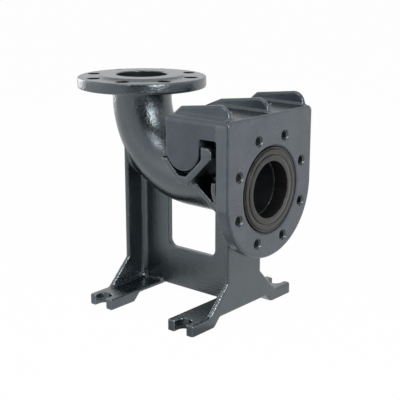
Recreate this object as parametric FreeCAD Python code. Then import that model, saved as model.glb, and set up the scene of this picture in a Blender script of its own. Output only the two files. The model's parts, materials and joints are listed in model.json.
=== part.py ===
"""Discharge pedestal (duck-foot bend) with its hook-on claw and rubber seal, for a sewage pump.

Millimetres, +Z up, floor at z = 0. +X runs from the upright discharge pipe towards the pump,
and the part is symmetric about the plane y = 0. Every x below is measured from the discharge
axis, and the finished shapes are moved so that the origin is the middle of the footprint.

The real object is two castings and a seal. Each casting is drawn whole, its edges are bevelled,
and it is then divided into named features that touch face to face.
"""
import FreeCAD, Part
import math
import os

from FreeCAD import Vector

# Bent pipe
pipe_bore = 80.0
pipe_wall = 6.0
bend_radius = 110.0
port_height = 200.0             # floor to the axis of the pump port
neck_length = 15.0              # straight pipe from the bend to the discharge flange
tail_length = 101.7             # straight pipe from the bend to the inlet flange

# Discharge flange, DN80 drilled for eight M16 bolts
flange_diameter = 200.0
flange_thickness = 17.0
raised_face_diameter = 132.0
raised_face_height = 3.0
bolt_circle = 160.0
bolt_hole_diameter = 18.0
bolt_count = 8
flange_edge_bevel = 1.5
neck_root = 6.0

# Inlet flange, which the seal presses on, with an ear under each cradle
inlet_flange_diameter = 164.0
inlet_flange_thickness = 15.0
inlet_edge_bevel = 2.0
inlet_mouth_bevel = 1.5
wing_thickness = 8.0
wing_half_width = 89.0

# Claw plate
plate_width = 200.0
plate_thickness = 22.0
plate_rise = 110.0              # port axis to the flat top
plate_edge_bevel = 2.5
shoulder_radius = 9.0
tapped_hole_diameter = 14.0

# Rubber seal
seal_outer_diameter = 121.0
seal_body_diameter = 104.0
seal_bore = 82.0
seal_recess = 1.0
seal_lip_thickness = 11.0
seal_proud = 1.0
seal_gap = 0.3
pocket_diameter = 124.0         # in the claw plate, round the seal's lip
pocket_mouth_diameter = 131.0
pocket_mouth_depth = 4.0

# Claw cheeks with their hooks
cheek_thickness = 41.0
cheek_edge_bevel = 2.0
hook_radius = 30.0
hook_setback = 82.0             # claw plate's face to the hook's centre
hook_rise = 62.0                # port axis to the hook's centre
notch_rise = 80.5               # port axis to the top of the notch behind the plate

# Deck, ribs and the tongue behind the deck
deck_thickness = 20.0
rib_thickness = 8.0
rib_edge_bevel = 2.0
rib_root = 3.0
rib_setback = 6.0               # claw plate's face to the rib's nose
rib_front_height = 19.5         # above the deck
rib_back_height = 11.5          # above the deck
rib_nose_radius = 18.0
rib_slope = 14.0                # length of a side rib's sloping tail
side_rib_setback = 6.0          # cheek's back edge to the foot of a side rib
tongue_length = 24.0
tongue_width = 44.0
tongue_drop = 5.0
tongue_edge_bevel = 2.0
tongue_rib_setback = 5.0

# Cradles that carry the hooks
seat_gap = 0.4
cradle_floor_gap = 6.0
cradle_floor_thickness = 13.0
cradle_back_thickness = 8.5
cradle_front_thickness = 10.5
cradle_back_drop = 14.5         # hook's centre to the top of the back arm
cradle_edge_bevel = 1.5
cradle_inner_half = 22.0
prong_gap = 3.5                 # hook to the upright prong
prong_width = 18.5
prong_rise = 9.0                # hook's centre to the prong's top
prong_round = 9.0
gusset_thickness = 7.5
gusset_half_width = 80.0
gusset_drop = 14.0              # port axis to where its top meets the inlet flange

# Stand
stand_setback = 6.7             # inlet flange's back to the front stand plate's face
stand_plate = 8.0
stand_half_width = 40.0
stand_edge_bevel = 2.0
flare_height = 58.0
flare_half_width = 81.0
web_thickness = 10.0
web_clearance = 16.0
web_root_radius = 10.0
window_back_margin = 53.0       # rear plate to the window
window_front_margin = 46.0      # window to the front plate
window_sill = 79.0
window_corner = 12.0

# Feet
foot_half_span = 120.0
foot_width = 47.0
foot_thickness = 17.0
foot_root_radius = 6.0
arch_height = 12.0
arch_half_width = 57.0
arch_slope = 12.0
slot_width = 22.0
slot_depth = 20.0

# Places that follow from the sizes above
pipe_radius = pipe_bore / 2 + pipe_wall
bend_height = port_height + bend_radius
flange_bottom = bend_height + neck_length
flange_top = flange_bottom + flange_thickness
discharge_height = flange_top + raised_face_height
inlet_back = bend_radius + tail_length
inlet_face = inlet_back + inlet_flange_thickness
plate_back = inlet_face + seal_gap + seal_proud
plate_face = plate_back + plate_thickness
plate_top = port_height + plate_rise
plate_half = plate_width / 2
shoulder_foot = plate_top - shoulder_radius
hook_x = plate_face - hook_setback
hook_z = port_height + hook_rise
hook_front = hook_x + hook_radius
notch_top = port_height + notch_rise
cheek_back = hook_x - hook_radius
cheek_inner = plate_half - cheek_thickness
deck_bottom = plate_top - deck_thickness
rib_top = plate_top + rib_front_height
rib_nose_x = plate_face - rib_setback
side_rib_y = plate_half - shoulder_radius - rib_thickness / 2
tongue_back = cheek_back - tongue_length
tongue_top = plate_top - tongue_drop
rear_back = -stand_plate / 2
rear_front = stand_plate / 2
front_face = inlet_back - stand_setback
front_back = front_face - stand_plate
window_back = rear_front + window_back_margin
window_front = front_back - window_front_margin
foot_starts = {"rear": rear_back, "front": front_face - foot_width}
footprint_middle = (plate_face - flange_diameter / 2) / 2
far = 2 * (plate_face + discharge_height)   # beyond every face, for dividing and cutting

along_x = Vector(1, 0, 0)
along_y = Vector(0, 1, 0)
upwards = Vector(0, 0, 1)


def prism_xz(points, y_from, y_to):
    """Flat outline in the XZ plane, drawn from y_from to y_to."""
    corners = [Vector(x, y_from, z) for x, z in points]
    face = Part.Face(Part.makePolygon(corners + corners[:1]))
    return face.extrude(Vector(0, y_to - y_from, 0))


def prism_yz(points, x_from, x_to):
    """Flat outline in the YZ plane, drawn from x_from to x_to."""
    corners = [Vector(x_from, y, z) for y, z in points]
    face = Part.Face(Part.makePolygon(corners + corners[:1]))
    return face.extrude(Vector(x_to - x_from, 0, 0))


def block(x_from, x_to, y_from, y_to, z_from, z_to):
    size = (x_to - x_from, y_to - y_from, z_to - z_from)
    return Part.makeBox(*size, Vector(x_from, y_from, z_from))


def upright_cylinder(radius, z_from, z_to, x=0.0, y=0.0):
    return Part.makeCylinder(radius, z_to - z_from, Vector(x, y, z_from), upwards)


def level_cylinder(radius, x_from, x_to, y=0.0, z=port_height):
    return Part.makeCylinder(radius, x_to - x_from, Vector(x_from, y, z), along_x)


def mirrored(shape):
    """The same piece on the other side of the symmetry plane."""
    return shape.mirror(Vector(0, 0, 0), along_y)


def lies_at(edge, axis, *places):
    """True if the whole edge lies in one of the planes axis = place."""
    box = edge.BoundBox
    low, high = {"x": (box.XMin, box.XMax), "y": (box.YMin, box.YMax), "z": (box.ZMin, box.ZMax)}[axis]
    return any(abs(low - place) < 1e-4 and abs(high - place) < 1e-4 for place in places)


def rounded(shape, radius, wanted):
    """Round the edges that wanted() picks."""
    return shape.makeFillet(radius, [edge for edge in shape.Edges if wanted(edge)])


def bevelled(shape, size, wanted):
    """Bevel the edges that wanted() picks."""
    return shape.makeChamfer(size, [edge for edge in shape.Edges if wanted(edge)])


def cove(radius, length, first_wall, second_wall, run, corner):
    """Concave root strip in a corner, given by the directions in which its two walls leave it."""
    first_end = corner + first_wall * radius
    second_end = corner + second_wall * radius
    middle = corner + (first_wall + second_wall) * radius * (1 - math.sqrt(0.5))
    outline = [
        Part.makeLine(corner, first_end), Part.Arc(first_end, middle, second_end).toShape(),
        Part.makeLine(second_end, corner)]
    return Part.Face(Part.Wire(outline)).extrude(run * length)


def bolt_angles():
    """Bolt holes straddle the two centre lines."""
    step = 360.0 / bolt_count
    return [math.radians(step * (k + 0.5)) for k in range(bolt_count)]


def under_pipe(shape):
    """What is left of a stand piece under the pipe."""
    return min(shape.cut(pipe_rod).Solids, key=lambda solid: solid.BoundBox.ZMin)


# Pedestal: pipe and flanges

def quarter_bend(radius):
    """Solid rod of one radius, turned a quarter circle from the neck to the inlet pipe."""
    ring = Part.makeCircle(radius, Vector(0, 0, bend_height), upwards)
    disc = Part.Face(Part.Wire([ring]))
    return disc.revolve(Vector(bend_radius, 0, bend_height), -along_y, 90)


def whole_rod():
    """The pipe's outer form, from flange to inlet."""
    neck = upright_cylinder(pipe_radius, bend_height, flange_bottom)
    tail = level_cylinder(pipe_radius, bend_radius, inlet_back)
    return neck.fuse([quarter_bend(pipe_radius), tail]).removeSplitter()


def discharge_neck():
    """Straight pipe with a flared root under the flange."""
    neck = upright_cylinder(pipe_radius, bend_height, flange_bottom)
    root = Part.makeCone(pipe_radius, pipe_radius + neck_root, neck_root, Vector(0, 0, flange_bottom - neck_root))
    return neck.fuse(root).cut(upright_cylinder(pipe_bore / 2, bend_height - 1, flange_bottom + 1)).removeSplitter()


def discharge_elbow():
    return quarter_bend(pipe_radius).cut(quarter_bend(pipe_bore / 2))


def inlet_pipe():
    tail = level_cylinder(pipe_radius, bend_radius, inlet_back)
    return tail.cut(level_cylinder(pipe_bore / 2, bend_radius - 1, inlet_back + 1))


def discharge_flange():
    disc = upright_cylinder(flange_diameter / 2, flange_bottom, flange_top)
    disc = bevelled(disc, flange_edge_bevel, lambda edge: lies_at(edge, "z", flange_bottom, flange_top))
    raised = raised_face_diameter / 2
    face = Part.makeCone(raised + raised_face_height, raised, raised_face_height, Vector(0, 0, flange_top))
    holes = [upright_cylinder(pipe_bore / 2, flange_bottom - 1, discharge_height + 1)]
    for angle in bolt_angles():
        x = bolt_circle / 2 * math.cos(angle)
        y = bolt_circle / 2 * math.sin(angle)
        holes.append(upright_cylinder(bolt_hole_diameter / 2, flange_bottom - 1, flange_top + 1, x, y))
    return disc.fuse(face).cut(holes).removeSplitter()


def inlet_flange():
    """Machined ring round the pipe's end, on a backing ear at each side."""
    disc = level_cylinder(inlet_flange_diameter / 2, inlet_back, inlet_face)
    disc = bevelled(disc, inlet_edge_bevel, lambda edge: lies_at(edge, "x", inlet_back))
    edge = wing_half_width
    z = port_height
    wing = prism_yz([
        (0, z + 38), (-edge + 14, z + 26), (-edge, z + 20), (-edge, z + 8), (-edge + 3, z - 4),
        (-edge + 11, z - 16), (-edge + 30, z - 34), (0, z - 38)], inlet_back, inlet_back + wing_thickness)
    bore = level_cylinder(pipe_bore / 2, inlet_back - 1, inlet_face + 1)
    mouth = Part.makeCone(pipe_bore / 2, pipe_bore / 2 + inlet_mouth_bevel, inlet_mouth_bevel,
                          Vector(inlet_face - inlet_mouth_bevel, 0, port_height), along_x)
    return disc.fuse([wing, mirrored(wing)]).cut([bore, mouth]).removeSplitter()


# Pedestal: cradles

def cradle_outline():
    """V trough with a flat floor; its arms are square to each other and touch the hook's round."""
    diagonal = math.sqrt(2)
    touch = (hook_radius + seat_gap) * diagonal
    floor = hook_z - hook_radius - cradle_floor_gap
    under = floor - cradle_floor_thickness
    half_floor = touch - (hook_z - floor)
    back_top = hook_z - cradle_back_drop
    back_top_inner = hook_x - touch + cradle_back_drop
    back_top_outer = back_top_inner - cradle_back_thickness * diagonal
    prong_back = hook_front + prong_gap
    prong_front = prong_back + prong_width
    prong_top = hook_z + prong_rise
    prong_foot = hook_z - touch + prong_back - hook_x
    chin = hook_z - touch + prong_front - hook_x - cradle_front_thickness * diagonal
    return [
        (back_top_inner, back_top), (hook_x - half_floor, floor), (hook_x + half_floor, floor),
        (prong_back, prong_foot), (prong_back, prong_top), (prong_front, prong_top), (prong_front, chin),
        (prong_front - (chin - under), under), (back_top_outer + back_top - under, under),
        (back_top_outer, back_top)]


def left_cradle():
    outline = cradle_outline()
    prong_front, prong_top = outline[5]
    trough = prism_xz(outline, -plate_half, -cradle_inner_half)
    trough = rounded(trough, prong_round, lambda edge: lies_at(edge, "x", prong_front)
                     and lies_at(edge, "z", prong_top))
    trough = bevelled(trough, cradle_edge_bevel, lambda edge: lies_at(edge, "y", -plate_half))
    return trough.cut([pipe_rod, inlet])


def left_gusset():
    """Sloping plate from the corner under the cradle down to the inlet flange's back."""
    top_x, top_z = cradle_outline()[7]
    foot_z = port_height - gusset_drop
    slope = math.atan2(top_z - foot_z, inlet_back - top_x)
    rib = prism_xz([
        (top_x, top_z), (inlet_back, foot_z), (inlet_back, foot_z - gusset_thickness / math.cos(slope)),
        (top_x - gusset_thickness / math.sin(slope), top_z)], -gusset_half_width, -cradle_inner_half)
    return rib.cut(pipe_rod)


# Pedestal: stand

def stand_plate_blank(x_from, x_to):
    return prism_yz([
        (-flare_half_width, foot_thickness), (flare_half_width, foot_thickness),
        (stand_half_width, flare_height), (stand_half_width, bend_height),
        (-stand_half_width, bend_height), (-stand_half_width, flare_height)], x_from, x_to)


def foot_pair(x_from):
    """Flat bar across the part: both feet, the arch between them and an open slot at each end."""
    tip = foot_half_span
    knee = arch_half_width
    heel = arch_half_width + arch_slope
    bar = prism_yz([
        (-tip, 0), (-heel, 0), (-knee, arch_height), (knee, arch_height), (heel, 0), (tip, 0),
        (tip, foot_thickness), (-tip, foot_thickness)], x_from, x_from + foot_width)
    middle = x_from + foot_width / 2
    radius = slot_width / 2
    end = -tip + slot_depth - radius
    slot = block(middle - radius, middle + radius, -tip - 1, end, -1, foot_thickness + 1)
    slot = slot.fuse(upright_cylinder(radius, -1, foot_thickness + 1, middle, end)).removeSplitter()
    return bar.cut([slot, mirrored(slot)])


def window_opening():
    opening = block(window_back, window_front, -far, far, window_sill, bend_height)
    return rounded(opening, window_corner, lambda edge: lies_at(edge, "z", window_sill)
                   and lies_at(edge, "x", window_back, window_front))


def web_coves():
    """Concave roots of the web on the stand plates and on the feet."""
    half = web_thickness / 2
    web_height = bend_height - foot_thickness
    foot_run = foot_width - stand_plate
    coves = []
    for x, inward in ((rear_front, along_x), (front_back, -along_x)):
        for side in (-1, 1):
            outward = along_y * side
            corner = Vector(x, side * half, foot_thickness)
            coves.append(cove(web_root_radius, web_height, inward, outward, upwards, corner))
            coves.append(cove(foot_root_radius, foot_run, outward, upwards, inward, corner))
    return coves


def plate_coves(x, inward):
    """Concave roots of one stand plate on its feet."""
    start = web_thickness / 2 + web_root_radius
    run = flare_half_width - start - foot_root_radius - stand_edge_bevel
    coves = []
    for side in (-1, 1):
        corner = Vector(x, side * start, foot_thickness)
        coves.append(cove(foot_root_radius, run, inward, upwards, along_y * side, corner))
    return coves


def stand_casting():
    """Both stand plates, the web and the feet."""
    half = web_thickness / 2
    outer_faces = (rear_back, front_face)
    inner_faces = (rear_front, front_back)
    web = block(rear_front, front_back, -half, half, web_clearance, bend_height)
    blanks = [stand_plate_blank(front_back, front_face), web]
    blanks += [foot_pair(start) for start in foot_starts.values()]
    casting = stand_plate_blank(rear_back, rear_front).fuse(blanks).removeSplitter()
    casting = bevelled(casting, stand_edge_bevel, lambda edge: lies_at(edge, "x", *outer_faces)
                       and 1 < edge.BoundBox.ZMax and edge.BoundBox.ZMin < bend_height - 1)
    casting = bevelled(casting, stand_edge_bevel, lambda edge: lies_at(edge, "x", *inner_faces)
                       and edge.BoundBox.ZLength > 1 and not lies_at(edge, "y", -half, half))
    return under_pipe(casting.fuse(web_coves()).cut(window_opening()))


def stand_pieces():
    """The stand divided into its plates, web and feet."""
    casting = stand_casting()
    above = foot_thickness
    rear = casting.common(block(-far, rear_front, -far, far, above, far))
    rear = rear.fuse(plate_coves(rear_front, along_x)).removeSplitter()
    front = casting.common(block(front_back, far, -far, far, above, far))
    front = front.fuse(plate_coves(front_back, -along_x)).removeSplitter()
    web = casting.common(block(rear_front, front_back, -far, far, above, far))
    rail = casting.common(block(-far, far, -far, far, -far, above))
    between = block(rear_back + foot_width, front_face - foot_width, -far, far, -far, above)
    web = web.fuse(rail.common(between)).removeSplitter()
    pieces = {"rear_stand_plate": rear, "front_stand_plate": front, "centre_web": web}
    for name, start in foot_starts.items():
        left = rail.common(block(start, start + foot_width, -far, 0, -far, above))
        pieces[name + "_left_foot"] = left
        pieces[name + "_right_foot"] = mirrored(left)
    return pieces


# Claw

def claw_casting():
    """Claw plate, deck, cheeks and tongue."""
    upper = block(cheek_back, plate_face, -plate_half, plate_half, port_height, plate_top)
    upper = rounded(upper, shoulder_radius, lambda edge: lies_at(edge, "y", -plate_half, plate_half)
                    and lies_at(edge, "z", plate_top))
    room = [
        block(cheek_back - 1, plate_back, -cheek_inner, cheek_inner, 0, deck_bottom),
        block(hook_front, plate_back, -far, far, 0, notch_top),
        block(cheek_back - 1, plate_back, -far, far, 0, hook_z)]
    lower = level_cylinder(plate_half, plate_back, plate_face)
    hooks = []
    for y in (-plate_half, cheek_inner):
        hooks.append(Part.makeCylinder(hook_radius, cheek_thickness, Vector(hook_x, y, hook_z), along_y))
    casting = upper.cut(room).fuse(hooks + [lower]).removeSplitter()
    casting = bevelled(casting, plate_edge_bevel, lambda edge: lies_at(edge, "x", plate_face))
    casting = bevelled(casting, cheek_edge_bevel, lambda edge: (
        lies_at(edge, "y", -plate_half, plate_half) and not lies_at(edge, "z", shoulder_foot)
        and edge.BoundBox.ZMax > port_height + 1 and edge.BoundBox.XMin < plate_face - plate_edge_bevel - 0.1)
        or (lies_at(edge, "x", cheek_back) and edge.BoundBox.ZMin > shoulder_foot - 1))
    half = tongue_width / 2
    tongue = block(tongue_back, cheek_back, -half, half, deck_bottom, tongue_top)
    tongue = bevelled(tongue, tongue_edge_bevel, lambda edge: lies_at(edge, "x", tongue_back))
    return casting.fuse(tongue)


def rib(tail, crest, y_middle, root_start):
    """Upright rib: sloping tail, rising top, round nose and concave roots on the deck."""
    brow = Vector(rib_nose_x - rib_nose_radius, 0, rib_top)
    turn = rib_nose_radius * (1 - math.sqrt(0.5))
    cheekbone = Vector(rib_nose_x - turn, 0, rib_top - turn)
    chin = Vector(rib_nose_x, 0, rib_top - rib_nose_radius)
    foot_front = Vector(rib_nose_x, 0, tongue_top)
    foot_back = Vector(tail.x, 0, tongue_top)
    outline = [
        Part.makeLine(tail, crest), Part.makeLine(crest, brow), Part.Arc(brow, cheekbone, chin).toShape(),
        Part.makeLine(chin, foot_front), Part.makeLine(foot_front, foot_back)]
    if tail.z > tongue_top:
        outline.append(Part.makeLine(foot_back, tail))
    half = rib_thickness / 2
    blade = Part.Face(Part.Wire(outline)).extrude(along_y * rib_thickness)
    blade.translate(Vector(0, y_middle - half, 0))
    blade = bevelled(blade, rib_edge_bevel, lambda edge: lies_at(edge, "y", y_middle - half, y_middle + half)
                     and edge.BoundBox.ZMax > plate_top + 1)
    run = rib_nose_x - rib_edge_bevel - root_start
    roots = []
    for side in (-1, 1):
        corner = Vector(root_start, y_middle + side * half, plate_top)
        roots.append(cove(rib_root, run, along_y * side, upwards, along_x, corner))
    return blade.fuse(roots).removeSplitter()


def claw_holes():
    lip_back = plate_face - seal_recess - seal_lip_thickness
    holes = [
        level_cylinder(pocket_diameter / 2, lip_back, plate_face + 1),
        Part.makeCone(pocket_diameter / 2, pocket_mouth_diameter / 2, pocket_mouth_depth,
                      Vector(plate_face - pocket_mouth_depth, 0, port_height), along_x),
        level_cylinder(seal_body_diameter / 2, plate_back - 1, lip_back + 1)]
    for angle in bolt_angles():
        y = bolt_circle / 2 * math.cos(angle)
        z = port_height + bolt_circle / 2 * math.sin(angle)
        holes.append(level_cylinder(tapped_hole_diameter / 2, plate_back - 1, plate_face + 1, y, z))
    return holes


def claw_pieces():
    """The claw divided into its plate, cheeks, deck, tongue and ribs."""
    casting = claw_casting()
    top = plate_top
    plate = casting.common(block(plate_back, far, -far, far, -far, top))
    cheek = casting.common(block(cheek_back, plate_back, -far, -cheek_inner, -far, top))
    deck = casting.common(block(cheek_back, plate_back, -cheek_inner, cheek_inner, -far, top))
    tongue = casting.common(block(-far, cheek_back, -far, far, -far, top))
    slope_start = cheek_back + side_rib_setback
    crest = Vector(slope_start + rib_slope, 0, top + rib_back_height)
    side_rib = rib(Vector(slope_start, 0, top), crest, -side_rib_y, crest.x).cut(casting)
    side_rib = side_rib.common(block(-far, far, -far, far, top, far))
    middle_tail = Vector(tongue_back + tongue_rib_setback, 0, tongue_top)
    middle_rib = rib(middle_tail, crest, 0, cheek_back + cheek_edge_bevel).cut(casting)
    return {
        "claw_plate": plate.cut(claw_holes()), "left_cheek": cheek, "right_cheek": mirrored(cheek),
        "top_deck": deck, "rear_tongue": tongue, "left_rib": side_rib, "middle_rib": middle_rib,
        "right_rib": mirrored(side_rib)}


def seal_ring():
    """Rubber ring with a front lip and a sealing rim at its back."""
    outer = seal_outer_diameter / 2
    body = seal_body_diameter / 2
    bore = seal_bore / 2
    front = plate_face - seal_recess
    lip_back = front - seal_lip_thickness
    back = plate_back - seal_proud
    profile = [
        (back, bore), (front - 1, bore), (front, bore + 1), (front, outer - 1), (front - 1, outer),
        (lip_back, outer), (lip_back, body), (back, body)]
    corners = [Vector(x, 0, port_height + r) for x, r in profile]
    ring = Part.Face(Part.makePolygon(corners + corners[:1]))
    return ring.revolve(Vector(0, 0, port_height), along_x, 360)


pipe_rod = whole_rod()
inlet = inlet_flange()
cradle = left_cradle()
gusset = left_gusset()

pieces = {
    "discharge_flange": discharge_flange(),
    "discharge_neck": discharge_neck(),
    "discharge_elbow": discharge_elbow(),
    "inlet_pipe": inlet_pipe(),
    "inlet_flange": inlet,
    "left_cradle": cradle,
    "right_cradle": mirrored(cradle),
    "left_gusset": gusset,
    "right_gusset": mirrored(gusset),
    **stand_pieces(),
    **claw_pieces(),
    "seal_ring": seal_ring(),
}

os.makedirs("parts", exist_ok=True)
for name, shape in pieces.items():
    placed = shape.copy()
    placed.translate(Vector(-footprint_middle, 0, 0))
    solids = placed.Solids
    placed = solids[0] if len(solids) == 1 else Part.makeCompound(solids)
    placed.exportStep("parts/" + name + ".step")
    print(f"{name:18s} solids {len(solids)}  volume {placed.Volume / 1000:8.1f} cm3  valid {placed.isValid()}")
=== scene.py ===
# %% [markdown]
# # A discharge pedestal with its hook-on claw
# This is the cast iron foot that a submersible sewage pump docks on. The pedestal is one
# casting: a flanged pipe bend on an arched stand. The claw is another: a plate with two hooks
# that drop into cradles on the pedestal, and a rubber seal that presses on the inlet flange.
# The CAD model already has every form at its real size, so this scene adds what CAD leaves out.

# %% Load the CAD model
import bpy
import json
import math
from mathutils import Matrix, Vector

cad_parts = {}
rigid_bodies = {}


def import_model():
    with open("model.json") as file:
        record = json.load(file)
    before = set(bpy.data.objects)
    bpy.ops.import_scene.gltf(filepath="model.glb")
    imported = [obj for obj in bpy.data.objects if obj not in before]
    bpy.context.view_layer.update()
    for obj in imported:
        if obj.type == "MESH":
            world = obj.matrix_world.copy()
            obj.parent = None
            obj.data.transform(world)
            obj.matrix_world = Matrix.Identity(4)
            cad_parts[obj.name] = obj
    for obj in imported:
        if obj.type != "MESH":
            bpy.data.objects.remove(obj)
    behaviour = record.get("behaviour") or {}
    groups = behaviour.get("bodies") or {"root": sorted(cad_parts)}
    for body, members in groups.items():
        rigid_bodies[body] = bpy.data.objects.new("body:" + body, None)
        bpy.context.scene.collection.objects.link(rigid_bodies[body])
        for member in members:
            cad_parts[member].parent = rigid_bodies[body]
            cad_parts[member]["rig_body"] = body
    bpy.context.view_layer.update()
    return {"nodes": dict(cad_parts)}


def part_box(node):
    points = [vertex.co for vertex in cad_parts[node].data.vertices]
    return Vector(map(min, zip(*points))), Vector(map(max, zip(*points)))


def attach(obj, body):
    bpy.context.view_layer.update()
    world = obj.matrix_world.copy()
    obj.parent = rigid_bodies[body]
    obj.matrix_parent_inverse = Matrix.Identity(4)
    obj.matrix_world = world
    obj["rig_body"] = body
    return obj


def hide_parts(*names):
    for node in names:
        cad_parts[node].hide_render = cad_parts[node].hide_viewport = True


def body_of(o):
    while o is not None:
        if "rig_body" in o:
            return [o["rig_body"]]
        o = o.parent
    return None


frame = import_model()
nodes = frame["nodes"]

# %% [markdown]
# ## The camera
# The photograph looks down at the front left of the part, from about a metre and a half away.
# The angle, the distance and the lens were found by matching the corners and circles of the
# part. A camera looks along its own -Z axis, so it is turned until that axis meets the target.

# %% Place the camera
camera_azimuth = math.radians(40.13)
camera_elevation = math.radians(14.84)
camera_distance = 1.4017
camera_target = Vector((0.0426, 0.0, 0.1624))
camera_lens = 82.97

towards_camera = Vector((
    math.sin(camera_azimuth) * math.cos(camera_elevation),
    -math.cos(camera_azimuth) * math.cos(camera_elevation),
    math.sin(camera_elevation)))
bpy.ops.object.camera_add(location=camera_target + towards_camera * camera_distance)
camera = bpy.context.object
camera.name = "camera"
camera.rotation_euler = (-towards_camera).to_track_quat("-Z", "Y").to_euler()
camera.data.lens = camera_lens
camera.data.sensor_width = 36.0
camera.data.clip_start = 0.05
bpy.context.scene.camera = camera
print("camera at", [round(v, 3) for v in camera.location])

# %% [markdown]
# ## Studio light
# The photograph was lit by a tall softbox on the right, whose mirror image runs down the pipe as
# a long highlight. A smaller one above the camera ends that highlight in a second patch. Wide,
# weaker ones overhead and on the left fill the rest. Area lamps do the lighting, because their
# size sets how soft a shadow is, and their place is easy to read.

# %% Hang the lamps
def hang_lamp(name, place, aim, width, height, power):
    """A rectangular area lamp that faces a point."""
    bpy.ops.object.light_add(type="AREA", location=place)
    lamp = bpy.context.object
    lamp.name = name
    lamp.rotation_euler = (Vector(aim) - Vector(place)).to_track_quat("-Z", "Y").to_euler()
    lamp.data.shape = "RECTANGLE"
    lamp.data.size = width
    lamp.data.size_y = height
    lamp.data.energy = power
    return lamp


middle = (0.0, 0.0, 0.2)
lamps = [
    hang_lamp("overhead_softbox", (0.1, -0.1, 1.7), middle, 1.6, 1.2, 4.5),
    hang_lamp("right_softbox", (1.8, -0.7, 0.92), middle, 0.55, 1.10, 29.0),
    hang_lamp("high_softbox", (0.25, -1.03, 1.48), middle, 0.50, 0.45, 5.5),
    hang_lamp("left_softbox", (-1.1, -1.2, 0.7), middle, 1.0, 1.2, 2.0),
    hang_lamp("side_softbox", (-1.7, 0.1, 0.60), middle, 0.8, 1.1, 9.5),
]
print([lamp.name for lamp in lamps])

# %% [markdown]
# ## The white sweep
# The camera must see a plain white ground, and the gloss must mirror the same white, but the
# shadows must stay deep. Light Path tells what kind of ray asks, so the world shows full white to
# the camera and to reflections, and lends only a little fill to everything else.

# %% Helper for node trees
def node(tree, kind, **values):
    """A shader node with its input sockets set by name."""
    made = tree.nodes.new(kind)
    for socket, value in values.items():
        made.inputs[socket.replace("_", " ")].default_value = value
    return made


opening_side = Vector((math.sin(camera_azimuth), -math.cos(camera_azimuth), 0.0))
opening_edge = (0.88, 0.94)
room_share = 0.03
world_fill = 0.08


def ray_share(tree, camera_share, whereabouts):
    """How much of the white ground a ray sees: a camera ray, or one by way of gloss or glass.

    The sweep is open on one side, where the photographer stands, and the gloss mirrors a tall
    dim opening there. It stays in that place when the camera moves. opening_edge holds the
    cosines between which the white fades to room_share.
    """
    path = tree.nodes.new("ShaderNodeLightPath")
    level = node(tree, "ShaderNodeVectorMath")
    level.operation = "MULTIPLY"
    level.inputs[1].default_value = (1.0, 1.0, 0.0)
    tree.links.new(whereabouts, level.inputs[0])
    bearing = node(tree, "ShaderNodeVectorMath")
    bearing.operation = "NORMALIZE"
    tree.links.new(level.outputs["Vector"], bearing.inputs[0])
    side = node(tree, "ShaderNodeVectorMath")
    side.operation = "DOT_PRODUCT"
    side.inputs[1].default_value = opening_side
    tree.links.new(bearing.outputs["Vector"], side.inputs[0])
    fade = node(
        tree, "ShaderNodeMapRange",
        From_Min=opening_edge[0], From_Max=opening_edge[1], To_Min=1.0, To_Max=room_share)
    tree.links.new(side.outputs["Value"], fade.inputs["Value"])
    mirror = node(tree, "ShaderNodeMath")
    mirror.operation = "MAXIMUM"
    tree.links.new(path.outputs["Is Glossy Ray"], mirror.inputs[0])
    tree.links.new(path.outputs["Is Transmission Ray"], mirror.inputs[1])
    dimmed = node(tree, "ShaderNodeMath")
    dimmed.operation = "MULTIPLY"
    tree.links.new(mirror.outputs["Value"], dimmed.inputs[0])
    tree.links.new(fade.outputs["Result"], dimmed.inputs[1])
    share = node(tree, "ShaderNodeMath")
    share.operation = "MULTIPLY_ADD"
    share.inputs[1].default_value = camera_share
    tree.links.new(path.outputs["Is Camera Ray"], share.inputs[0])
    tree.links.new(dimmed.outputs["Value"], share.inputs[2])
    return share.outputs["Value"]


# %% Set the world
world = bpy.data.worlds.new("white_sweep")
bpy.context.scene.world = world
world.use_nodes = True
bpy.context.scene.view_settings.view_transform = "Standard"
tree = world.node_tree
tree.nodes.clear()
fill = node(tree, "ShaderNodeBackground", Color=(1.0, 1.0, 1.0, 1.0), Strength=world_fill)
white = node(tree, "ShaderNodeBackground", Color=(1.0, 1.0, 1.0, 1.0), Strength=1.0)
choice = tree.nodes.new("ShaderNodeMixShader")
output = tree.nodes.new("ShaderNodeOutputWorld")
place = tree.nodes.new("ShaderNodeTexCoord")
share = ray_share(tree, 1.0, place.outputs["Generated"])
tree.links.new(share, choice.inputs["Fac"])
tree.links.new(fill.outputs["Background"], choice.inputs[1])
tree.links.new(white.outputs["Background"], choice.inputs[2])
tree.links.new(choice.outputs["Shader"], output.inputs["Surface"])
print("world ready")

# %% [markdown]
# ## The floor
# A plain pale floor catches the shadow. Seen by the camera it is mostly its own white, so the
# ground stays as white as in the photograph and only the contact shadow shows on it. To all
# other rays it is a shade darker, so the undersides stay as dark as in the photograph.

# %% Lay the floor
floor_width = 40.0
floor_drop = 0.0006
bpy.ops.object.select_all(action="DESELECT")
bpy.ops.mesh.primitive_plane_add(size=floor_width, location=(0.0, 0.0, -floor_drop))
floor = bpy.context.object
floor.name = "floor"
floor_white = bpy.data.materials.new("floor_white")
floor_white.use_nodes = True
tree = floor_white.node_tree
tree.nodes.clear()
matt = tree.nodes.new("ShaderNodeBsdfDiffuse")
path = tree.nodes.new("ShaderNodeLightPath")
grey = tree.nodes.new("ShaderNodeMix")
grey.data_type = "RGBA"
grey.inputs["A"].default_value = (0.80, 0.80, 0.80, 1.0)
grey.inputs["B"].default_value = (0.90, 0.90, 0.90, 1.0)
tree.links.new(path.outputs["Is Camera Ray"], grey.inputs["Factor"])
tree.links.new(grey.outputs["Result"], matt.inputs["Color"])
glow = node(tree, "ShaderNodeEmission", Color=(1.0, 1.0, 1.0, 1.0))
blend = tree.nodes.new("ShaderNodeMixShader")
output = tree.nodes.new("ShaderNodeOutputMaterial")
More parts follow.
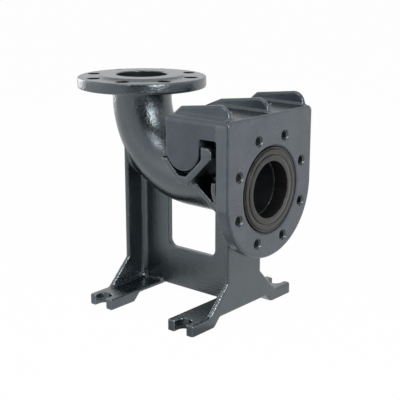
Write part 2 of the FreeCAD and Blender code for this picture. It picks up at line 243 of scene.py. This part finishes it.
place = tree.nodes.new("ShaderNodeTexCoord")
share = ray_share(tree, 0.985, place.outputs["Object"])
tree.links.new(share, blend.inputs["Fac"])
tree.links.new(matt.outputs["BSDF"], blend.inputs[1])
tree.links.new(glow.outputs["Emission"], blend.inputs[2])
tree.links.new(blend.outputs["Shader"], output.inputs["Surface"])
floor.data.materials.append(floor_white)
print("floor laid")

# %% [markdown]
# ## The castings
# On the real object the pedestal is one casting and the claw is another. The CAD model divides
# each of them into named features whose corners are plain bevels. A sand casting has soft roots
# in its inner corners and worn rounds on its outer edges. They could be modelled edge by edge,
# but there are hundreds, so the whole casting is copied and softened at once. The copies of its
# features are joined and remeshed into one skin, the skin grows and shrinks again by the same
# amount, which leaves a round root in each inner corner, and a little smoothing rounds the edges.

# %% Helpers for modifiers and selections
def select_only(piece):
    """Leave edit mode and select one piece."""
    if bpy.context.object and bpy.context.object.mode != "OBJECT":
        bpy.ops.object.mode_set(mode="OBJECT")
    bpy.ops.object.select_all(action="DESELECT")
    piece.select_set(True)
    bpy.context.view_layer.objects.active = piece


def modify(piece, kind, **settings):
    """Add a modifier, set it and apply it."""
    select_only(piece)
    modifier = piece.modifiers.new(kind.lower(), kind)
    for setting, value in settings.items():
        setattr(modifier, setting, value)
    bpy.ops.object.modifier_apply(modifier=modifier.name)


def triangle_count(piece):
    """How many triangles a piece's faces make."""
    return sum(len(face.vertices) - 2 for face in piece.data.polygons)


# %% Join the features of one casting
def joined_copy(name, features):
    """Copy the features' CAD meshes, join the copies and merge their doubled corners."""
    select_only(nodes[features[0]])
    for feature in features[1:]:
        nodes[feature].select_set(True)
    bpy.ops.object.duplicate()
    bpy.ops.object.join()
    copy = bpy.context.object
    copy.name = name
    bpy.ops.object.mode_set(mode="EDIT")
    bpy.ops.mesh.select_all(action="SELECT")
    bpy.ops.mesh.remove_doubles(threshold=1e-6)
    bpy.ops.object.mode_set(mode="OBJECT")
    return copy


features = {"pedestal": [], "claw": []}
for name, piece in nodes.items():
    if name != "seal_ring":
        features[body_of(piece)[0]].append(name)
pedestal_casting = joined_copy("pedestal_casting", features["pedestal"])
claw_casting = joined_copy("claw_casting", features["claw"])
print({body: len(names) for body, names in features.items()})

# %% Soften the castings
def soften(casting, voxel, root):
    """Grow and shrink the skin by the root radius, then round its edges."""
    modify(casting, "REMESH", mode="VOXEL", voxel_size=voxel)
    modify(casting, "SMOOTH", factor=0.5, iterations=1)
    modify(casting, "DISPLACE", strength=root, mid_level=0.0)
    modify(casting, "REMESH", mode="VOXEL", voxel_size=voxel)
    modify(casting, "SMOOTH", factor=0.5, iterations=2)
    modify(casting, "DISPLACE", strength=-root, mid_level=0.0)
    modify(casting, "REMESH", mode="VOXEL", voxel_size=voxel)
    modify(casting, "SMOOTH", factor=0.5, iterations=1)


root_radius = 0.003
soften(pedestal_casting, 0.0010, root_radius)
soften(claw_casting, 0.0008, root_radius)
print("skins", triangle_count(pedestal_casting), triangle_count(claw_casting), "triangles")

# %% [markdown]
# ## Machining
# After casting, the shop drills the flange and taps the plate, so those edges are crisp where
# the cast ones are soft. Each cutter is a cylinder with a wider collar for the deburred rim, and
# a boolean takes all the copies of it out of the casting at once. A last cutter turns the shallow
# step round the port that the seal's lip lies in.

# %% Turn a drill
def drill(name, radius, collar, low, high):
    """An upright drill from low to high whose top flares to the collar's radius."""
    bpy.ops.object.select_all(action="DESELECT")
    bpy.ops.mesh.primitive_cylinder_add(
        vertices=40, radius=radius, depth=high - low, location=(0.0, 0.0, (low + high) / 2))
    tool = bpy.context.object
    tool.name = name
    bpy.ops.object.transform_apply(location=True)
    bpy.ops.object.mode_set(mode="EDIT")
    bpy.ops.mesh.select_mode(type="FACE")
    bpy.ops.mesh.select_all(action="DESELECT")
    bpy.ops.object.mode_set(mode="OBJECT")
    for face in tool.data.polygons:
        face.select = face.normal.z > 0.9
    bpy.ops.object.mode_set(mode="EDIT")
    flare = collar - radius
    bpy.ops.mesh.extrude_region_move(TRANSFORM_OT_translate={"value": (0.0, 0.0, flare)})
    bpy.ops.transform.resize(value=(collar / radius, collar / radius, 1.0), center_override=(0.0, 0.0, high))
    bpy.ops.mesh.extrude_region_move(TRANSFORM_OT_translate={"value": (0.0, 0.0, 0.006)})
    bpy.ops.object.mode_set(mode="OBJECT")
    return tool


def turn_level(piece):
    """Lay an upright piece down so that its top points along +X."""
    select_only(piece)
    piece.rotation_euler = (0.0, math.radians(90.0), 0.0)
    bpy.ops.object.transform_apply(rotation=True)


# %% Places of the holes
pipe_x = -0.075
port_height = 0.200
bolt_circle_radius = 0.080
bolt_angles = [math.radians(22.5 + 45.0 * k) for k in range(8)]
discharge_axis = Vector((pipe_x, 0.0, 0.0))
port_axis = Vector((0.0, 0.0, port_height))
plate_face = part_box("claw_plate")[1][0]
raised_face_height = 0.003
flange_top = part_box("discharge_flange")[1][2] - raised_face_height
flange_places = [
    discharge_axis + Vector((math.cos(a), math.sin(a), 0.0)) * bolt_circle_radius
    + Vector((0.0, 0.0, flange_top)) for a in bolt_angles]
tap_places = [
    port_axis + Vector((plate_face, 0.0, 0.0))
    + Vector((0.0, math.cos(a), math.sin(a))) * bolt_circle_radius for a in bolt_angles]


# %% Drill the holes
def cut_all(casting, tool, places):
    """Take a copy of the tool out of the casting at each place."""
    select_only(tool)
    copies = []
    for place in places:
        copy = tool.copy()
        copy.data = tool.data.copy()
        copy.location = place
        bpy.context.collection.objects.link(copy)
        copies.append(copy)
    bpy.data.objects.remove(tool)
    for copy in copies:
        copy.select_set(True)
    bpy.context.view_layer.objects.active = copies[0]
    bpy.ops.object.join()
    tools = bpy.context.object
    modify(casting, "BOOLEAN", operation="DIFFERENCE", object=tools, solver="MANIFOLD")
    bpy.data.objects.remove(tools)


flange_drill = drill("flange_drill", 0.0092, 0.0108, -0.025, -0.0013)
cut_all(pedestal_casting, flange_drill, flange_places)
tap_drill = drill("tap_drill", 0.0080, 0.0089, -0.026, -0.0008)
turn_level(tap_drill)
cut_all(claw_casting, tap_drill, tap_places)
print("drilled", len(flange_places), "flange holes and", len(tap_places), "tapped holes")

# %% Turn the step for the seal's lip
step_radius = 0.0645
step_depth = 0.0029
cutter_length = 0.010
bpy.ops.mesh.primitive_cylinder_add(
    vertices=160, radius=step_radius, depth=cutter_length,
    location=(0.0, 0.0, cutter_length / 2 - step_depth))
step_cutter = bpy.context.object
step_cutter.name = "step_cutter"
bpy.ops.object.transform_apply(location=True)
turn_level(step_cutter)
step_cutter.location = port_axis + Vector((plate_face, 0.0, 0.0))
modify(claw_casting, "BOOLEAN", operation="DIFFERENCE", object=step_cutter, solver="MANIFOLD")
bpy.data.objects.remove(step_cutter)
print("step turned")

# %% Thin the skins and hand them over
skin_triangles = 185000
smooth_angle = math.radians(50.0)
for casting, body in ((pedestal_casting, "pedestal"), (claw_casting, "claw")):
    modify(casting, "DECIMATE", ratio=skin_triangles / triangle_count(casting))
    select_only(casting)
    bpy.ops.object.shade_smooth_by_angle(angle=smooth_angle)
    # corner attribute for the paint: low in concave roots, for painted shade, and high on convex edges, for
    # wear and a painted highlight
    casting.data.color_attributes.new(name="root_shade_edge_highlight", type="FLOAT_COLOR", domain="CORNER")
    bpy.ops.paint.vertex_color_dirt(
        blur_strength=1.0, blur_iterations=2, clean_angle=math.pi, dirt_angle=0.0, normalize=False)
    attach(casting, body)
    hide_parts(*features[body])
    print(casting.name, triangle_count(casting), "triangles")

# %% [markdown]
# ## Threads
# Daylight glints on the threads in the eight tapped holes. A thread is a small V that climbs
# round the hole, two millimetres a turn. The Screw modifier was made for this: it sweeps an
# edge round an axis and lifts it as it goes.

# %% Cut one thread
thread_crest = 0.0070
thread_root = 0.0083
pitch = 0.002
thread_start = 0.0218
bpy.ops.object.select_all(action="DESELECT")
bpy.ops.mesh.primitive_plane_add(size=0.002, location=(0.0, 0.0, 0.0))
thread = bpy.context.object
thread.name = "thread"
bpy.ops.object.mode_set(mode="EDIT")
bpy.ops.mesh.delete(type="ONLY_FACE")
bpy.ops.mesh.select_all(action="DESELECT")
bpy.ops.object.mode_set(mode="OBJECT")
corners = [
    (thread_root, 0.0, -pitch * 0.48), (thread_crest, 0.0, -pitch * 0.10),
    (thread_root, 0.0, pitch * 0.48), (thread_crest, 0.0, pitch * 0.10)]
for vertex, corner in zip(thread.data.vertices, corners):
    vertex.co = corner
modify(thread, "SCREW", axis="Z", screw_offset=pitch, iterations=10, steps=36, render_steps=36,
       use_merge_vertices=True, merge_threshold=1e-6)
turn_level(thread)
print("one thread has", triangle_count(thread), "triangles")

# %% Finish one thread and copy it
bpy.ops.object.mode_set(mode="EDIT")
bpy.ops.mesh.select_all(action="SELECT")
bpy.ops.mesh.fill_holes(sides=4)
bpy.ops.mesh.select_all(action="SELECT")
bpy.ops.mesh.normals_make_consistent(inside=False)
bpy.ops.object.mode_set(mode="OBJECT")
bpy.ops.object.shade_smooth_by_angle(angle=math.radians(40.0))
threads = []
for number, place in enumerate(tap_places, start=1):
    copy = thread.copy()
    copy.data = thread.data.copy()
    copy.name = "tapped_thread_" + str(number)
    bpy.context.collection.objects.link(copy)
    copy.location = place - Vector((thread_start, 0.0, 0.0))
    select_only(copy)
    bpy.ops.object.transform_apply(location=True)
    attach(copy, "claw")
    threads.append(copy)
bpy.data.objects.remove(thread)
print(len(threads), "threads")

# %% [markdown]
# ## The rubber seal
# The seal is one moulded ring in the plate's port, with a thin lip that lies in the step.
# Two narrow grooves divide its face in three flat bands, and all its corners are round. A ring
# like this is turned: a circle is pulled along the section, point by point, and closed.

# %% Turn the seal
def turned_ring(name, section, segments):
    """A closed ring round the Z axis. The section lists (radius, height) points."""
    radius, height = section[0]
    bpy.ops.object.select_all(action="DESELECT")
    bpy.ops.mesh.primitive_circle_add(vertices=segments, radius=radius, location=(0.0, 0.0, height))
    ring = bpy.context.object
    ring.name = name
    bpy.ops.object.transform_apply(location=True)
    bpy.ops.object.mode_set(mode="EDIT")
    bpy.ops.mesh.select_all(action="SELECT")
    for next_radius, next_height in section[1:] + section[:1]:
        lift = next_height - height
        bpy.ops.mesh.extrude_edges_move(TRANSFORM_OT_translate={"value": (0.0, 0.0, lift)})
        widen = next_radius / radius
        bpy.ops.transform.resize(value=(widen, widen, 1.0), center_override=(0.0, 0.0, next_height))
        radius, height = next_radius, next_height
    bpy.ops.mesh.select_all(action="SELECT")
    bpy.ops.mesh.remove_doubles(threshold=1e-6)
    bpy.ops.mesh.normals_make_consistent(inside=False)
    bpy.ops.object.mode_set(mode="OBJECT")
    return ring


seal_section = [
    (0.0410, -0.0222), (0.0410, -0.0022), (0.0412, -0.0012), (0.0417, -0.0007), (0.0424, -0.0006),
    (0.0490, -0.0006), (0.0494, -0.0008), (0.0496, -0.0016), (0.0498, -0.0021), (0.0502, -0.0022),
    (0.0507, -0.0019), (0.0521, -0.0010), (0.0527, -0.0007), (0.0535, -0.0006), (0.0570, -0.0006),
    (0.0575, -0.0008), (0.0577, -0.0016), (0.0580, -0.0022), (0.0584, -0.0023), (0.0589, -0.0020),
    (0.0602, -0.0011), (0.0607, -0.0008), (0.0611, -0.0009), (0.0614, -0.0013), (0.0615, -0.0019),
    (0.0615, -0.0026), (0.0606, -0.0027), (0.0605, -0.0112), (0.0600, -0.0119), (0.0526, -0.0120),
    (0.0520, -0.0126), (0.0520, -0.0222), (0.0514, -0.0230), (0.0417, -0.0230)]
seal = turned_ring("rubber_seal", seal_section, 128)
turn_level(seal)
seal.location = port_axis + Vector((plate_face, 0.0, 0.0))
bpy.ops.object.transform_apply(location=True)
bpy.ops.object.shade_smooth_by_angle(angle=math.radians(35.0))
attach(seal, "claw")
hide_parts("seal_ring")
print("seal", triangle_count(seal), "triangles")

# %% [markdown]
# ## Paint beads
# The paint ran a little. Four small beads of it dried on the deck behind the plate's top and in
# the corner of the cradle. Each is a flattened ball, coloured pale as a painted highlight.

# %% Drop the beads
bead_places = [
    ((0.128, -0.034, 0.3102), 0.0018, "claw"),
    ((0.128, 0.056, 0.3102), 0.0016, "claw"),
    ((0.126, 0.063, 0.3102), 0.0019, "claw"),
    ((0.0931, -0.0905, 0.2228), 0.0014, "pedestal")]
beads = []
for number, (place, radius, body) in enumerate(bead_places, start=1):
    bpy.ops.object.select_all(action="DESELECT")
    bpy.ops.mesh.primitive_uv_sphere_add(segments=16, ring_count=10, radius=radius, location=place)
    bead = bpy.context.object
    bead.name = "paint_bead_" + str(number)
    bead.scale = (1.0, 1.0, 0.7)
    bpy.ops.object.transform_apply(location=True, scale=True)
    bpy.ops.object.shade_smooth()
    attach(bead, body)
    beads.append(bead)
print(len(beads), "paint beads")

# %% [markdown]
# ## Paint on cast iron
# Both castings wear a glossy dark slate paint. The sand mould leaves a fine grain and slow waves
# under it, so the gloss breaks up into speckles. Two noises drive a bump: a fine one for the
# grain and a wide one for the waves. A third mottles the colour. A corner attribute of the skin
# darkens the roots with painted shade, and turns the edges pale, partly as wear and partly as a
# painted highlight.

# %% Mix the paint
def slate_paint(name, dark, light, ior, roughness, grain, waves, edge_wear_and_highlight):
    """Gloss paint. grain and waves are bump heights in metres; the last argument sets how pale the edges
    get, as wear and as a painted highlight.
    """
    material = bpy.data.materials.new(name)
    material.use_nodes = True
    tree = material.node_tree
    shader = tree.nodes["Principled BSDF"]
    shader.inputs["IOR"].default_value = ior
    shader.inputs["Specular Tint"].default_value = (0.82, 0.94, 1.0, 1.0)
    place = tree.nodes.new("ShaderNodeTexCoord")
    mottle = node(tree, "ShaderNodeTexNoise", Scale=35.0, Detail=5.0)
    bent = tree.nodes.new("ShaderNodeAttribute")
    bent.attribute_name = "root_shade_edge_highlight"
    # painted shade: the colour darkens in the concave roots
    painted_root_shade = node(tree, "ShaderNodeMapRange", From_Min=0.480, From_Max=0.500, To_Min=0.35, To_Max=1.0)
    # wear and painted highlight: the colour turns pale on the convex edges
    edge_wear_and_highlight_ramp = node(tree, "ShaderNodeMapRange", From_Min=0.521, From_Max=0.533, To_Min=0.0, To_Max=edge_wear_and_highlight)
    shaded = tree.nodes.new("ShaderNodeMix")
    shaded.data_type = "RGBA"
    shaded.blend_type = "MULTIPLY"
    shaded.inputs["Factor"].default_value = 1.0
    wear_and_highlight_mix = tree.nodes.new("ShaderNodeMix")
    wear_and_highlight_mix.data_type = "RGBA"
    # the pale edge colour, partly wear and partly painted highlight
    wear_and_highlight_mix.inputs["B"].default_value = (0.26, 0.28, 0.30, 1.0)
    colour = tree.nodes.new("ShaderNodeValToRGB")
    colour.color_ramp.elements[0].position = 0.35
    colour.color_ramp.elements[0].color = dark
    colour.color_ramp.elements[1].position = 0.65
    colour.color_ramp.elements[1].color = light
    gloss = node(tree, "ShaderNodeMapRange", To_Min=roughness - 0.05, To_Max=roughness + 0.08)
    fine = node(tree, "ShaderNodeTexNoise", Scale=380.0, Detail=2.0)
    wide = node(tree, "ShaderNodeTexNoise", Scale=60.0, Detail=2.0)
    wave_bump = node(tree, "ShaderNodeBump", Strength=1.0, Distance=waves)
    grain_bump = node(tree, "ShaderNodeBump", Strength=1.0, Distance=grain)
    for texture in (mottle, fine, wide):
        tree.links.new(place.outputs["Object"], texture.inputs["Vector"])
    tree.links.new(mottle.outputs["Fac"], colour.inputs["Fac"])
    tree.links.new(bent.outputs["Fac"], painted_root_shade.inputs["Value"])
    tree.links.new(bent.outputs["Fac"], edge_wear_and_highlight_ramp.inputs["Value"])
    tree.links.new(colour.outputs["Color"], shaded.inputs["A"])
    tree.links.new(painted_root_shade.outputs["Result"], shaded.inputs["B"])
    tree.links.new(shaded.outputs["Result"], wear_and_highlight_mix.inputs["A"])
    tree.links.new(edge_wear_and_highlight_ramp.outputs["Result"], wear_and_highlight_mix.inputs["Factor"])
    tree.links.new(wear_and_highlight_mix.outputs["Result"], shader.inputs["Base Color"])
    tree.links.new(fine.outputs["Fac"], gloss.inputs["Value"])
    tree.links.new(gloss.outputs["Result"], shader.inputs["Roughness"])
    tree.links.new(wide.outputs["Fac"], wave_bump.inputs["Height"])
    tree.links.new(fine.outputs["Fac"], grain_bump.inputs["Height"])
    tree.links.new(wave_bump.outputs["Normal"], grain_bump.inputs["Normal"])
    tree.links.new(grain_bump.outputs["Normal"], shader.inputs["Normal"])
    return material


cast_paint = slate_paint(
    "cast_paint", (0.007, 0.010, 0.012, 1.0), (0.014, 0.019, 0.022, 1.0), 1.92, 0.12, 0.00062, 0.0002, 0.25)
claw_paint = slate_paint(
    "claw_paint", (0.024, 0.032, 0.040, 1.0), (0.042, 0.052, 0.063, 1.0), 1.65, 0.19, 0.00030, 0.0003, 0.9)
face_paint = slate_paint(
    "face_paint", (0.056, 0.062, 0.074, 1.0), (0.074, 0.082, 0.095, 1.0), 1.60, 0.24, 0.00012, 0.0003, 0.1)
pocket_paint = slate_paint(
    "pocket_paint", (0.056, 0.062, 0.074, 1.0), (0.074, 0.082, 0.095, 1.0), 1.45, 0.50, 0.00012, 0.0003, 0.0)
# painted light: the flanks are paler than the claw paint because of how light falls on them; they are also
# glossier
flank_paint_painted_light = slate_paint(
    "flank_paint_painted_light", (0.062, 0.072, 0.088, 1.0), (0.081, 0.093, 0.112, 1.0), 1.70, 0.20, 0.00012, 0.0003, 0.8)
bore_paint = slate_paint(
    "bore_paint", (0.010, 0.012, 0.013, 1.0), (0.018, 0.020, 0.022, 1.0), 1.20, 0.50, 0.00030, 0.0009, 0.0)
# painted shade: the threads and the tapped holes are much darker than the claw paint, for the shade inside
# the holes
thread_paint_painted_shade = slate_paint(
    "thread_paint_painted_shade", (0.004, 0.005, 0.006, 1.0), (0.010, 0.012, 0.014, 1.0), 2.00, 0.08, 0.00010, 0.0002, 0.0)
# painted highlight: the beads are far paler than the paint they are made of
bead_paint_painted_highlight = slate_paint(
    "bead_paint_painted_highlight", (0.300, 0.330, 0.350, 1.0), (0.420, 0.450, 0.470, 1.0), 1.60, 0.20, 0.00010, 0.0002, 0.0)
print("paints mixed")

# %% Mould the rubber
def moulded_rubber(name, dark, light, roughness, shine):
    """Rubber with a blotchy bloom and a very fine skin."""
    material = bpy.data.materials.new(name)
    material.use_nodes = True
    tree = material.node_tree
    shader = tree.nodes["Principled BSDF"]
    shader.inputs["Roughness"].default_value = roughness
    shader.inputs["Specular IOR Level"].default_value = shine
    place = tree.nodes.new("ShaderNodeTexCoord")
    bloom = node(tree, "ShaderNodeTexNoise", Scale=90.0, Detail=4.0)
    shade = tree.nodes.new("ShaderNodeValToRGB")
    shade.color_ramp.elements[0].position = 0.35
    shade.color_ramp.elements[0].color = dark
    shade.color_ramp.elements[1].position = 0.70
    shade.color_ramp.elements[1].color = light
    skin = node(tree, "ShaderNodeTexNoise", Scale=700.0, Detail=2.0)
    skin_bump = node(tree, "ShaderNodeBump", Strength=1.0, Distance=0.0001)
    for texture in (bloom, skin):
        tree.links.new(place.outputs["Object"], texture.inputs["Vector"])
    tree.links.new(bloom.outputs["Fac"], shade.inputs["Fac"])
    tree.links.new(shade.outputs["Color"], shader.inputs["Base Color"])
    tree.links.new(skin.outputs["Fac"], skin_bump.inputs["Height"])
    tree.links.new(skin_bump.outputs["Normal"], shader.inputs["Normal"])
    return material


rubber = moulded_rubber(
    "seal_rubber", (0.016, 0.015, 0.014, 1.0), (0.026, 0.024, 0.022, 1.0), 0.15, 0.5)
# painted shade: near black for the seal's inner walls and outer rim
seal_wall_painted_shade_rubber = moulded_rubber(
    "seal_wall_painted_shade", (0.006, 0.006, 0.006, 1.0), (0.012, 0.012, 0.012, 1.0), 0.45, 0.2)
print("rubber ready")

# %% Give every piece its finish
finish = {"pedestal": cast_paint, "claw": claw_paint}
for name, piece in nodes.items():
    piece.data.materials.clear()
    piece.data.materials.append(rubber if name == "seal_ring" else finish[body_of(piece)[0]])
dressed = [(pedestal_casting, cast_paint), (claw_casting, claw_paint), (seal, rubber)]
dressed += [(piece, thread_paint_painted_shade) for piece in threads]
dressed += [(piece, bead_paint_painted_highlight) for piece in beads]
for piece, material in dressed:
    piece.data.materials.clear()
    piece.data.materials.append(material)
print(len(nodes) + len(dressed), "pieces have their finish")

# %% [markdown]
# The claw's machined face is paler and smoother than the rest of it. The plate's flanks are
# glossier, and painted paler as painted light; the pocket has its own finish, and the tapped holes
# are painted darker as painted shade. The skin is one mesh, so each face picks its material by
# where it lies and which way it faces.

# %% Paint the claw
for material in (face_paint, cast_paint, flank_paint_painted_light, thread_paint_painted_shade, pocket_paint):
    claw_casting.data.materials.append(material)
face_slot, deck_slot, flank_painted_light_slot, thread_painted_shade_slot, pocket_slot = range(1, 6)
tap_rim = 0.0090
tap_depth = 0.027
plate_side = 0.0990
plate_depth = 0.0215
pocket_reach = 0.068
deck_height = 0.3125
for face in claw_casting.data.polygons:
    in_tap = min((face.center - place).yz.length for place in tap_places) < tap_rim
    beside_plate = abs(face.normal.y) > 0.95 and face.center.x > plate_face - plate_depth
    # the tapped holes take the dark thread paint, as painted shade
    if in_tap and face.center.x > plate_face - tap_depth:
        face.material_index = thread_painted_shade_slot
    elif face.normal.x > 0.95 and face.center.x > plate_face - 0.0006:
        face.material_index = face_slot
    elif face.center.x > plate_face - 0.006 and (face.center - port_axis).yz.length < pocket_reach:
        face.material_index = pocket_slot
    # the plate's flanks: painted light
    elif beside_plate and abs(face.center.y) > plate_side:
        face.material_index = flank_painted_light_slot
    elif face.normal.z > 0.80 and face.center.z < deck_height:
        face.material_index = deck_slot
print("claw painted")

# %% [markdown]
# Inside the pipe the paint is thin and dull, and in the photograph the bore is nearly black. Its
# faces are those closer to the bend's centre line than the wall is.

# %% Paint the bore and the flange
bend_radius = 0.110
bend_top = 0.310


def from_pipe_axis(point):
    """Distance from the centre line, which rises at pipe_x, bends and then runs level."""
    along = point.x - pipe_x
    if point.z > bend_top:
        return math.hypot(along, point.y)
    if along > bend_radius:
        return math.hypot(point.z - port_height, point.y)
    return math.hypot(bend_radius - math.hypot(bend_radius - along, bend_top - point.z), point.y)


pedestal_casting.data.materials.append(bore_paint)
pedestal_casting.data.materials.append(face_paint)
bore_slot = 1
top_slot = 2
bore_limit = 0.0412
mouth_height = 0.3435
flange_thickness = 0.018
flange_rim = 0.0107
inner = 0
for face in pedestal_casting.data.polygons:
    in_hole = min((face.center - place).xy.length for place in flange_places) < flange_rim
    if from_pipe_axis(face.center) < bore_limit and face.center.z < mouth_height:
        face.material_index = bore_slot
        inner += 1
    elif face.center.z > flange_top - flange_thickness and in_hole:
        face.material_index = bore_slot
    elif face.normal.z > 0.95 and face.center.z > flange_top - 0.0006:
        face.material_index = top_slot
print(inner, "faces of the bore")

# %% [markdown]
# The seal's rubber is dark grey. The walls that look inwards, and its outer rim, are painted near black as
# painted shade, for the shade in the bore and in the gap round the lip.

# %% Paint shade on the seal's walls
seal_painted_shade_slot = 1
lip_radius = 0.0610
seal.data.materials.append(seal_wall_painted_shade_rubber)
# inward walls and the outer rim take the painted shade
for face in seal.data.polygons:
    spoke = Vector((0.0, face.center.y, face.center.z - port_height))
    if face.normal.x < 0.30 and (spoke.dot(face.normal) < 0.0 or spoke.length > lip_radius):
        face.material_index = seal_painted_shade_slot
print("walls blackened")
